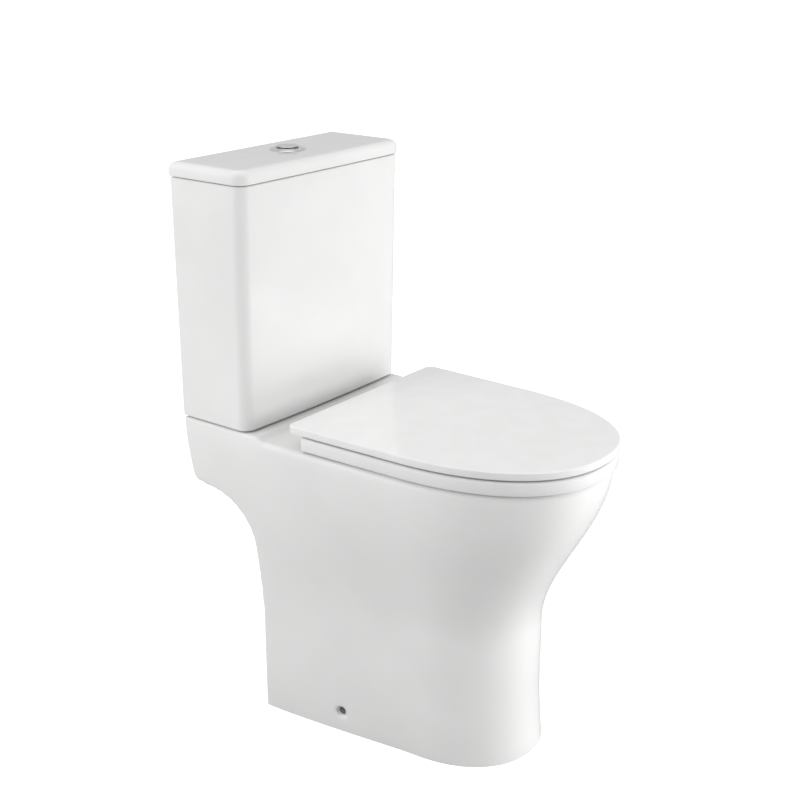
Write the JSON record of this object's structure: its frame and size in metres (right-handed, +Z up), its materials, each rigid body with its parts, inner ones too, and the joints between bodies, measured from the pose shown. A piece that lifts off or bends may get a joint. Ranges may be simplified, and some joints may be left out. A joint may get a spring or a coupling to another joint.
{
  "type": "close coupled toilet",
  "caption": "Close coupled toilet: skirted ceramic pan, cistern on its shelf, lift-off lid with dual-flush button, hinged D-shaped seat and lid.",
  "frame": {"origin": "on the floor, at the centre of the plan box, midway between the wall face and the front of the seat", "axes": "+Z up, +Y towards the wall, -Y towards the front of the bowl, +X to the right for a person facing the wall"},
  "size_m": [0.365, 0.628, 0.8685],
  "materials": {
    "ceramic": "gloss white glaze",
    "seat_plastic": "gloss white moulded plastic",
    "chrome": "polished",
    "steel": "bright zinc",
    "black_steel": "dark fixing screw",
    "brass": "machined",
    "black_rubber": "matt",
    "white_plastic": "moulded",
    "grey_plastic": "moulded",
    "blue_plastic": "moulded",
    "clear_bumper": "soft translucent bumper",
    "nylon": "moulded nylon"
  },
  "bodies": {
    "root": {"pan": "ceramic", "cistern": "ceramic", "hinge_base_left": "chrome", "hinge_base_right": "chrome", "hinge_pin_left": "steel", "hinge_pin_right": "steel", "hinge_studs": "steel", "hinge_cone_washers": "black_rubber", "hinge_nuts": "white_plastic", "flush_valve_body": "white_plastic", "flush_valve_gasket": "black_rubber", "flush_valve_nut": "white_plastic", "coupling_washer": "black_rubber", "coupling_bolts": "brass", "coupling_seals": "black_rubber", "coupling_steel_washers": "steel", "coupling_wing_nuts": "brass", "fill_valve_body": "white_plastic", "fill_valve_seal": "black_rubber", "fill_valve_nut": "white_plastic", "floor_brackets": "nylon", "side_sleeves": "white_plastic", "side_screws": "black_steel"},
    "cistern_lid": {"cistern_lid": "ceramic", "button_bezel": "chrome", "bezel_nut": "white_plastic", "full_button_spring": "steel", "half_button_spring": "steel"},
    "full_flush_button": {"full_flush_button": "chrome", "full_push_rod": "white_plastic"},
    "half_flush_button": {"half_flush_button": "chrome", "half_push_rod": "white_plastic"},
    "flush_lift": {"flush_lift_tube": "blue_plastic", "flush_seal": "black_rubber"},
    "fill_float": {"fill_float": "grey_plastic"},
    "fill_lever": {"fill_lever": "white_plastic"},
    "seat_ring": {"seat_ring": "seat_plastic", "ring_buffers": "clear_bumper"},
    "seat_lid": {"seat_lid": "seat_plastic", "lid_buffers": "clear_bumper", "soft_close_damper_left": "grey_plastic", "soft_close_damper_right": "grey_plastic"}
  },
  "joints": [
    {"name": "seat_ring_hinge", "type": "hinge", "parent": "root", "child": "seat_ring", "pos_m": [0, 0.102, 0.484], "axis": [1, 0, 0], "range_deg": [-95, 0]},
    {"name": "seat_lid_hinge", "type": "hinge", "parent": "seat_ring", "child": "seat_lid", "pos_m": [0, 0.102, 0.484], "axis": [-1, 0, 0], "range_deg": [0, 95]},
    {"name": "cistern_lid_lift", "type": "slide", "parent": "root", "child": "cistern_lid", "axis": [0, 0, 1], "range_m": [0, 0.15]},
    {"name": "full_flush_press", "type": "slide", "parent": "cistern_lid", "child": "full_flush_button", "axis": [0, 0, -1], "range_m": [0, 0.006], "stiffness_N_per_m": 400, "springref_m": -0.01, "deforming": ["full_button_spring"]},
    {"name": "half_flush_press", "type": "slide", "parent": "cistern_lid", "child": "half_flush_button", "axis": [0, 0, -1], "range_m": [0, 0.006], "stiffness_N_per_m": 400, "springref_m": -0.01, "deforming": ["half_button_spring"]},
    {"name": "flush_lift", "type": "slide", "parent": "root", "child": "flush_lift", "axis": [0, 0, 1], "range_m": [0, 0.0181]},
    {"name": "fill_float_rise", "type": "slide", "parent": "root", "child": "fill_float", "axis": [0, 0, 1], "range_m": [0, 0.025]},
    {"name": "fill_lever_turn", "type": "hinge", "parent": "root", "child": "fill_lever", "pos_m": [0.108, 0.248, 0.738], "axis": [0, 1, 0], "range_deg": [0, 33]}
  ],
  "couplings": [
    {"joint": "flush_lift", "follows": "full_flush_press", "ratio": 3},
    {"joint": "fill_lever_turn", "follows": "fill_float_rise", "rad_per_m": 22.4}
  ]
}
